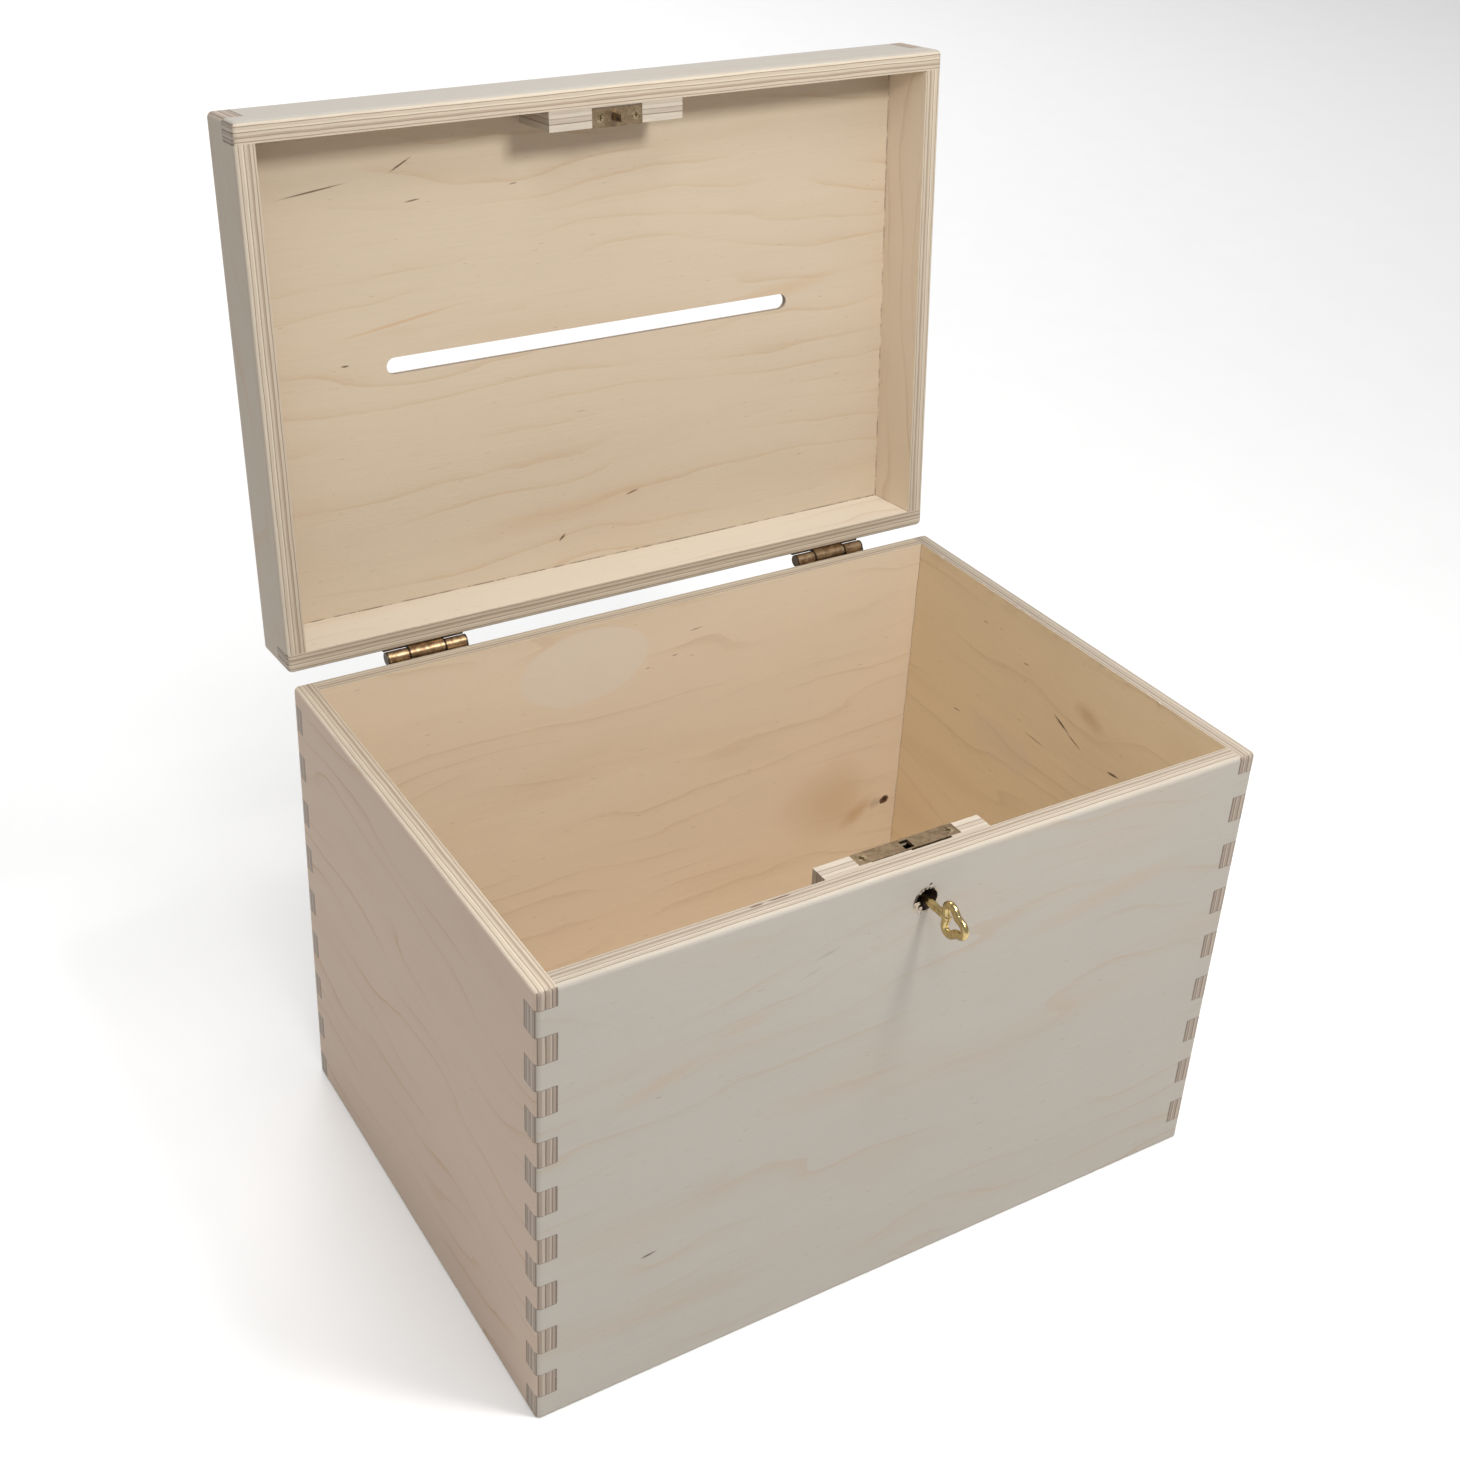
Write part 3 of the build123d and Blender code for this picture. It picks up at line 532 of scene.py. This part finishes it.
def dress_lid_panel():
    panel = Board("birch_lid_panel", "XYZ", RIM + LID_HEIGHT, lid=True, thick=PANEL, seed=9.0)
    face, height = panel.veneer(FRONT_VENEER_LIT_TONE, LID_VENEER_LIT_TONE, ring_gap=14.0, wander=2.0)
    for tint, place, size, angle, options in (
        (FLECK, (-134, -84), (38, 1.0), -7, dict(strength=0.85, inner=True)),
        (FLECK, (-93, -91), (15, 1.1), -28, dict(strength=0.9, inner=True)),
        (FLECK, (-88.5, -75), (10, 1.0), -6, dict(strength=0.75, inner=True)),
        (FLECK, (-39.5, -77), (6, 0.9), -6, dict(strength=0.6, inner=True)),
        (FLECK, (-125.6, -6), (5, 1.3), 0, dict(strength=0.85, inner=True)),
        (STAIN, (-98, -22), (76, 2.0), -8, dict(strength=0.55, inner=True)),
        (FLECK, (-21.7, 97), (6, 1.7), -40, dict(strength=0.9, inner=True)),
        (FLECK, (17.6, 81), (9, 1.4), -12, dict(strength=0.85, inner=True)),
        (STAIN, (92, -6), (110, 12), -9, dict(strength=0.3, inner=True)),
        (STAIN, (-20, 84), (150, 16), -5, dict(strength=0.22, inner=True)),
    ):
        face = panel.mark(face, tint, place, size, angle, **options)
    # painted shade: the panel's inner face darkened along its corners with the rails, broken up by noise
    side_seam = panel.ramp(panel.sub(HALF_WIDTH - PLY, panel.math("ABSOLUTE", panel.u)), 0.9, 0.2)
    end_seam = panel.ramp(panel.sub(HALF_DEPTH - PLY, panel.math("ABSOLUTE", panel.v)), 0.9, 0.2)
    shade_breakup = panel.ramp(panel.noise(panel.stretched(9, 9, 12.0), 3, 0.7), 0.36, 0.6)
    seam_shade = panel.mul(panel.mul(panel.math("MAXIMUM", side_seam, end_seam), shade_breakup), panel.inner)
    face = panel.mix(panel.mul(seam_shade, 0.85), face, UMBER)
    dress("lid_panel", panel.wood(face, height, PANEL_EDGE, PANEL_EDGE))


def dress_bottom_and_blocks():
    floor = Board("birch_bottom_panel", "XYZ", 0.0, thick=PANEL, seed=10.0)
    dress("bottom_panel", floor.wood(*floor.veneer(FRONT_VENEER_LIT_TONE, BACK_INNER_LIT_TONE), PANEL_EDGE, PANEL_EDGE))
    for node, lid, seed in (("lock_block", False, 11.0), ("strike_block", True, 12.0)):
        block = Board(f"birch_{node}", "XZY", -HALF_DEPTH + PLY, lid=lid, seed=seed)
        dress(node, block.wood(*block.veneer(LID_VENEER_LIT_TONE, LID_VENEER_LIT_TONE), BLOCK_EDGE, BLOCK_EDGE))




# ---------------------------------------------------------------- metals
BRUSHED = (1.0, 9.0, 9.0)  # noise per mm along each axis


def metal(name, base, worn, roughness, brushed=BRUSHED, spots=0.0, lid=False, knuckle_shade_bands=()):
    """Plated metal: brushed lines, duller blotches and, if asked, dark spots and dark bands across X,
    painted shade with grime.
    """
    shader = Shader(name)
    position, normal = shader.coordinates()
    if lid:
        position, normal = shader.shut(position, normal)
    place = shader.split(position)
    lines = shader.noise(shader.scaled(place, brushed), 3, 0.6)
    cloud = shader.noise(shader.scaled(place, (0.35, 0.35, 0.35)), 3, 0.6)
    colour = shader.mix(shader.ramp(cloud, 0.38, 0.66), base, worn)
    colour = shader.shade(colour, shader.add(0.9, shader.mul(lines, 0.2)))
    if spots:
        grime = shader.noise(shader.scaled(place, (1.3, 1.3, 1.3)), 2)
        colour = shader.mix(shader.mul(shader.ramp(grime, 0.66, 0.76), spots), colour, FLECK)
    # painted shade with grime: dark bands at the knuckle joints and the barrel's ends
    for middle in knuckle_shade_bands:
        band = shader.ramp(shader.math("ABSOLUTE", shader.sub(place[0], middle)), 0.75, 0.35)
        colour = shader.mix(shader.mul(band, 0.9), colour, GRIME_AND_GAP_SHADE)
    shader.surface.inputs["Metallic"].default_value = 1.0
    rough = shader.add(roughness - 0.1, shader.add(shader.mul(cloud, 0.14), shader.mul(lines, 0.08)))
    return shader.finish(colour, rough, shader.bump(lines, 0.00001, 0.4))


def dress_lock():
    plate = srgb(156, 136, 110)
    plate_worn = srgb(132, 112, 88)
    screw = srgb(188, 170, 138)
    dress("lock_faceplate", metal("brass_faceplate", plate, plate_worn, 0.44, (0.4, 3.0, 3.0), 0.45))
    dress("strike_plate", metal("brass_strike", plate, plate_worn, 0.42, spots=0.7, lid=True))
    for node in ("lock_case", "lock_cover"):
        dress(node, metal(f"brass_{node}", srgb(36, 30, 24), srgb(24, 20, 16), 0.6))
    steel = metal("steel_lock_works", srgb(104, 102, 98), srgb(76, 74, 70), 0.45)
    for node in ("lock_bolt", "key_post", "bolt_guide_pin", "bolt_spring"):
        dress(node, steel)
    face = [at((x, FACE_SCREW_Y, HEIGHT), "+Z") for x in FACE_SCREWS_X]
    add_screws("lock_screws", "box", face, FACE_SCREW, screw)
    strike = [at((x, STRIKE_SCREW_Y, RIM), "-Z", lid=True) for x in STRIKE_SCREWS_X]
    add_screws("strike_screws", "lid", strike, STRIKE_SCREW, screw)


def dress_hinges():
    bronze = srgb(172, 146, 114)
    bronze_worn = srgb(130, 104, 78)
    for side, centre in HINGES.items():
        # the knuckle joints and barrel ends, darkened as painted shade with grime
        gaps = [centre + reach for reach in (-HINGE_HALF, -KNUCKLE_HALF, KNUCKLE_HALF, HINGE_HALF)]
        for part in ("box_leaf", "lid_leaf", "pin"):
            look = metal(
                f"bronze_{side}_{part}", bronze, bronze_worn, 0.42, (0.5, 2.0, 2.0), 0.35, knuckle_shade_bands=gaps
            )
            dress(f"hinge_{side}_{part}", look)
    for node, body, height, lid in (
        ("hinge_box_screws", "box", HINGE.z / MM - HINGE_SCREW_REACH, False),
        ("hinge_lid_screws", "lid", HINGE.z / MM + HINGE_SCREW_REACH, True),
    ):
        places = [
            at((centre + side * HINGE_SCREW_X, HALF_DEPTH + LEAF, height), "+Y", lid)
            for centre in HINGES.values()
            for side in (-1, 1)
        ]
        add_screws(node, body, places, HINGE_SCREW, bronze)


# ---------------------------------------------------------------- fine pieces
def add_piece(name, builder, body, material, smooth=True):
    """A new object from a bmesh in millimetres, riding a body."""
    bmesh.ops.recalc_face_normals(builder, faces=builder.faces)
    bmesh.ops.scale(builder, vec=(MM, MM, MM), verts=builder.verts)
    mesh = bpy.data.meshes.new(name)
    builder.to_mesh(mesh)
    builder.free()
    for polygon in mesh.polygons:
        polygon.use_smooth = smooth
    mesh.materials.append(material)
    piece = bpy.data.objects.new(name, mesh)
    bpy.context.scene.collection.objects.link(piece)
    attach(piece, body)
    return piece


def at(point, axis, lid=False):
    """A placement in mm whose local +Z points out of the material, at a point of the shut object."""
    outward = Vector({"+Z": (0, 0, 1), "-Z": (0, 0, -1), "+Y": (0, 1, 0)}[axis])
    place = Matrix.Translation(point) @ outward.to_track_quat("Z", "Y").to_matrix().to_4x4()
    if lid:
        pivot = Matrix.Translation(HINGE / MM)
        place = pivot @ Matrix.Rotation(-OPEN_ANGLE, 4, "X") @ pivot.inverted() @ place
    return place


ROUND_SIDES = 28


def ring(builder, radius, z):
    """A closed loop of points round the Z axis."""
    turns = (2 * math.pi * i / ROUND_SIDES for i in range(ROUND_SIDES))
    return [builder.verts.new((radius * math.cos(turn), radius * math.sin(turn), z)) for turn in turns]


def join(builder, lower, upper):
    """Quads between two closed loops with as many points."""
    for i in range(len(lower)):
        builder.faces.new((lower[i - 1], lower[i], upper[i], upper[i - 1]))


def cross(builder, reach, half_width, z):
    """A closed loop in the shape of a cross."""
    corner = [(reach, half_width), (half_width, half_width), (half_width, reach)]
    points = []
    for quarter in range(4):
        turn = Matrix.Rotation(quarter * math.pi / 2, 2)
        points += [turn @ Vector(point) for point in corner]
    return [builder.verts.new((x, y, z)) for x, y in points]


def add_screws(node, body, places, sizes, colour):
    """Countersunk screws with a pressed cross recess, in place of the plain ones."""
    head_r, shank_r, length = sizes
    group = bmesh.new()
    for place in places:
        screw = bmesh.new()
        rim = ring(screw, head_r, 0.0)
        mouth = cross(screw, 0.6 * head_r, 0.15 * head_r, 0.0)
        floor = cross(screw, 0.34 * head_r, 0.08 * head_r, -0.5 * head_r)
        join(screw, floor, mouth)
        screw.faces.new(floor)
        edges = [screw.edges.new((rim[i - 1], rim[i])) for i in range(len(rim))]
        edges += [edge for edge in screw.edges if all(v in mouth for v in edge.verts)]
        bmesh.ops.triangle_fill(screw, edges=edges, use_beauty=True)
        neck = ring(screw, shank_r, shank_r - head_r)
        end = ring(screw, shank_r, 1.5 * shank_r - length)
        tip = screw.verts.new((0, 0, -length))
        join(screw, neck, rim)
        join(screw, end, neck)
        for i in range(len(end)):
            screw.faces.new((end[i - 1], end[i], tip))
        bmesh.ops.recalc_face_normals(screw, faces=screw.faces)
        bmesh.ops.transform(screw, matrix=place, verts=screw.verts)
        shell = bpy.data.meshes.new("screw_shell")
        screw.to_mesh(shell)
        screw.free()
        group.from_mesh(shell)
        bpy.data.meshes.remove(shell)
    worn = srgb(110, 94, 68)
    material = metal(f"plated_{node}", colour, worn, 0.38, (2.0, 2.0, 2.0), lid=body == "lid")
    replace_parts(add_piece(f"{node}_recessed", group, body, material, smooth=False), node)


def add_bow(key, steps=96, sides=14):
    """A rounded ring in the shape of a clover leaf, in the plane of the key's bit."""
    loops = []
    for step in range(steps):
        turn = 2 * math.pi * step / steps
        cosine, sine = math.cos(turn), math.sin(turn)
        reach = BOW_REACH - BOW_NOTCH * math.cos(3 * turn)
        slope = 3 * BOW_NOTCH * math.sin(3 * turn)
        outward = Vector((0, reach * cosine + slope * sine, reach * sine - slope * cosine)).normalized()
        middle = Vector((KEY_X, BOW_Y + reach * cosine, KEY_Z + reach * sine))
        loop = []
        for corner in range(sides):
            angle = 2 * math.pi * corner / sides
            across = outward * BOW_SECTION[0] * math.cos(angle)
            through = Vector((BOW_SECTION[1] * math.sin(angle), 0, 0))
            loop.append(key.verts.new(middle + across + through))
        loops.append(loop)
    for i in range(len(loops)):
        join(key, loops[i - 1], loops[i])


def add_shaft(key):
    """The hollow shaft, closed at the bow."""
    place = Matrix.Translation((KEY_X, 0, KEY_Z)) @ Matrix.Rotation(-math.pi / 2, 4, "X")
    profile = (
        (SHAFT_R - 0.8, SHAFT_END_Y - 0.8),
        (SHAFT_R, SHAFT_END_Y),
        (SHAFT_R, SHAFT_TIP_Y - 0.15),
        (SHAFT_R - 0.15, SHAFT_TIP_Y),
        (PIPE_R, SHAFT_TIP_Y),
        (PIPE_R, SHAFT_TIP_Y - PIPE_DEPTH),
    )
    loops = []
    for radius, y in profile:
        loop = ring(key, radius, y)
        bmesh.ops.transform(key, matrix=place, verts=loop)
        loops.append(loop)
    for lower, upper in zip(loops, loops[1:]):
        join(key, lower, upper)
    key.faces.new(loops[0])
    key.faces.new(loops[-1])


def add_bit(key):
    """The bit, with its ward cut. The outline is how far out from the axis and back from the tip."""
    warded = BIT_R - WARD_DEPTH
    outline = (
        (BIT_ROOT, 0), (BIT_R, 0), (BIT_R, WARD_START), (warded, WARD_START),
        (warded, WARD_END), (BIT_R, WARD_END), (BIT_R, BIT_LENGTH), (BIT_ROOT, BIT_LENGTH),
    )
    sides = [
        [key.verts.new((KEY_X + x, BIT_TIP_Y - back, KEY_Z + out)) for out, back in outline]
        for x in (-BIT_HALF, BIT_HALF)
    ]
    join(key, *sides)
    for side in sides:
        key.faces.new(side)


def add_key():
    """The key as one smooth casting."""
    key = bmesh.new()
    add_bow(key)
    add_shaft(key)
    add_bit(key)
    material = metal("brass_key", srgb(208, 186, 132), srgb(182, 156, 104), 0.2, (1.2, 1.2, 1.2))
    piece = add_piece("key_cast", key, "key", material)
    piece.data.shade_smooth()
    piece.data.set_sharp_from_angle(angle=math.radians(50))
    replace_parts(piece, "key")


def splinter(builder, root, direction, lift, length, width):
    """A torn sliver: a flat wedge from its root to a point, lifted off the surface."""
    across = direction.cross(lift).normalized() * width / 2
    thick = lift.normalized() * 0.12
    tip = root + direction * length + lift
    base = [root - across - thick, root + across - thick, root + across + thick, root - across + thick]
    middle = [point + direction * length * 0.55 + lift * 0.45 for point in base]
    base = [builder.verts.new(point) for point in base]
    middle = [builder.verts.new(point) for point in middle]
    point = builder.verts.new(tip)
    builder.faces.new(base)
    join(builder, base, middle)
    for i in range(4):
        builder.faces.new((middle[i - 1], middle[i], point))


def torn_wood(name, colour):
    """Bare wood fibre."""
    shader = Shader(name)
    position, _ = shader.coordinates()
    fibre = shader.noise(shader.scaled(shader.split(position), (3.0, 3.0, 3.0)), 3, 0.7)
    tone = shader.shade(colour, shader.add(0.8, shader.mul(fibre, 0.4)))
    return shader.finish(tone, shader.add(0.6, shader.mul(fibre, 0.2)), shader.bump(fibre, 0.00005, 0.5))


def add_keyhole_splinters():
    """Chips torn up by the drill round the keyhole, mostly at its lower left."""
    chance = random.Random(7)
    chips = bmesh.new()
    for index in range(34):
        torn = index < 12
        turn = math.radians(chance.uniform(185, 265) if torn else chance.uniform(0, 360))
        outward = Vector((math.cos(turn), 0, math.sin(turn)))
        root = Vector((KEY_X, -HALF_DEPTH - 0.02, KEY_Z)) + outward * chance.uniform(5.1, 5.6)
        inward = -1 if torn and index % 3 else 1
        length = chance.uniform(1.0, 2.4) if inward < 0 else chance.uniform(0.7, 1.9)
        skew = Vector((chance.uniform(-0.5, 0.5), 0, chance.uniform(-0.5, 0.5)))
        direction = (outward * inward + skew).normalized()
        lift = Vector((0, -chance.uniform(0.15, 0.6), 0))
        splinter(chips, root, direction, lift, length, chance.uniform(0.4, 1.0))
    add_piece("keyhole_splinters", chips, "box", torn_wood("torn_veneer", PALE), smooth=False)


def add_rim_fibres():
    """Loose fibres along the inner edge of the right wall's rim, all below the closed lid."""
    chance = random.Random(11)
    fuzz = bmesh.new()
    inner_face = HALF_WIDTH - PLY
    for _ in range(90):
        root = Vector((inner_face + chance.uniform(-0.05, 0.4), chance.uniform(-70, 108), HEIGHT))
        direction = Vector((chance.uniform(-0.5, 0.35), chance.choice((-1, 1)), 0)).normalized()
        lift = Vector((-0.15, 0, chance.uniform(0.03, 0.09)))
        splinter(fuzz, root, direction, lift, chance.uniform(1.5, 5.0), chance.uniform(0.08, 0.2))
    add_piece("rim_fibres", fuzz, "box", torn_wood("loose_fibre", CREAM), smooth=False)


# ---------------------------------------------------------------- camera, light and floor
CAMERA_PLACE = (-0.416936, -0.609277, 0.668542)
CAMERA_AZIMUTH, CAMERA_ELEVATION, CAMERA_ROLL = -31.202, 29.29, 2.159  # degrees
CAMERA_LENS = 48.18
CAMERA_SHIFT = (0.0356, -0.0549)


def place_camera():
    """The camera that took the photo, as solved from the box's straight edges."""
    azimuth, elevation = math.radians(CAMERA_AZIMUTH), math.radians(CAMERA_ELEVATION)
    back = Vector((
        math.sin(azimuth) * math.cos(elevation),
        -math.cos(azimuth) * math.cos(elevation),
        math.sin(elevation),
    ))
    right = Vector((math.cos(azimuth), math.sin(azimuth), 0.0))
    up = back.cross(right)
    tilt = Matrix.Rotation(math.radians(CAMERA_ROLL), 3, back)
    columns = Matrix((tilt @ right, tilt @ up, back)).transposed()
    camera = bpy.data.cameras.new("camera")
    camera.sensor_width = 36.0
    camera.lens = CAMERA_LENS
    camera.shift_x, camera.shift_y = CAMERA_SHIFT
    camera.clip_end = 50.0
    holder = bpy.data.objects.new("camera", camera)
    holder.matrix_world = Matrix.Translation(CAMERA_PLACE) @ columns.to_4x4()
    bpy.context.scene.collection.objects.link(holder)
    bpy.context.scene.camera = holder


def soft_light(name, place, target, size, power, colour=(1.0, 1.0, 1.0)):
    """A rectangular lamp, aimed at a point."""
    light = bpy.data.lights.new(name, "AREA")
    light.shape = "RECTANGLE"
    light.size, light.size_y = size
    light.energy = power
    light.color = colour
    holder = bpy.data.objects.new(name, light)
    holder.location = place
    holder.rotation_euler = (Vector(target) - Vector(place)).to_track_quat("-Z", "Y").to_euler()
    bpy.context.scene.collection.objects.link(holder)


def light_studio():
    """Even white surroundings, two soft boxes, a small lamp near the camera and one for the backdrop."""
    world = bpy.data.worlds.new("studio")
    world.use_nodes = True
    world.node_tree.nodes["Background"].inputs["Color"].default_value = (1.0, 1.0, 1.0, 1.0)
    world.node_tree.nodes["Background"].inputs["Strength"].default_value = 0.39
    bpy.context.scene.world = world
    bpy.context.scene.view_settings.view_transform = "Standard"
    soft_light("near_lamp", (0.08, -0.32, 0.74), (0, -0.05, 0.15), (0.12, 0.12), 2.8, (1.0, 0.985, 0.96))
    soft_light("high_softbox", (-0.5, -1.4, 2.4), (0, 0, 0.2), (0.7, 0.7), 14)
    soft_light("top_softbox", (0.05, -0.35, 1.9), (0, 0, 0), (0.6, 0.6), 6)
    soft_light("backdrop_lamp", (0.0, 2.6, 3.0), (0, 2.4, 0), (3.0, 2.0), 90)


def lay_floor():
    mesh = bpy.data.meshes.new("floor")
    builder = bmesh.new()
    bmesh.ops.create_grid(builder, x_segments=1, y_segments=1, size=6.0)
    builder.to_mesh(mesh)
    builder.free()
    floor = bpy.data.objects.new("floor", mesh)
    floor.location.z = -0.0002
    paint = Shader("floor_paint")
    position, _ = paint.coordinates()
    mottle = paint.noise(paint.scaled(paint.split(position), (0.02, 0.02, 0.0)), 2)
    tone = paint.add(0.93, paint.mul(mottle, 0.03))
    mesh.materials.append(paint.finish(paint.vector(tone, tone, tone), 0.7))
    bpy.context.scene.collection.objects.link(floor)


place_camera()
light_studio()
lay_floor()
dress_walls()
dress_rails()
dress_lid_panel()
dress_bottom_and_blocks()
dress_lock()
dress_hinges()
add_key()
add_keyhole_splinters()
add_rim_fibres()
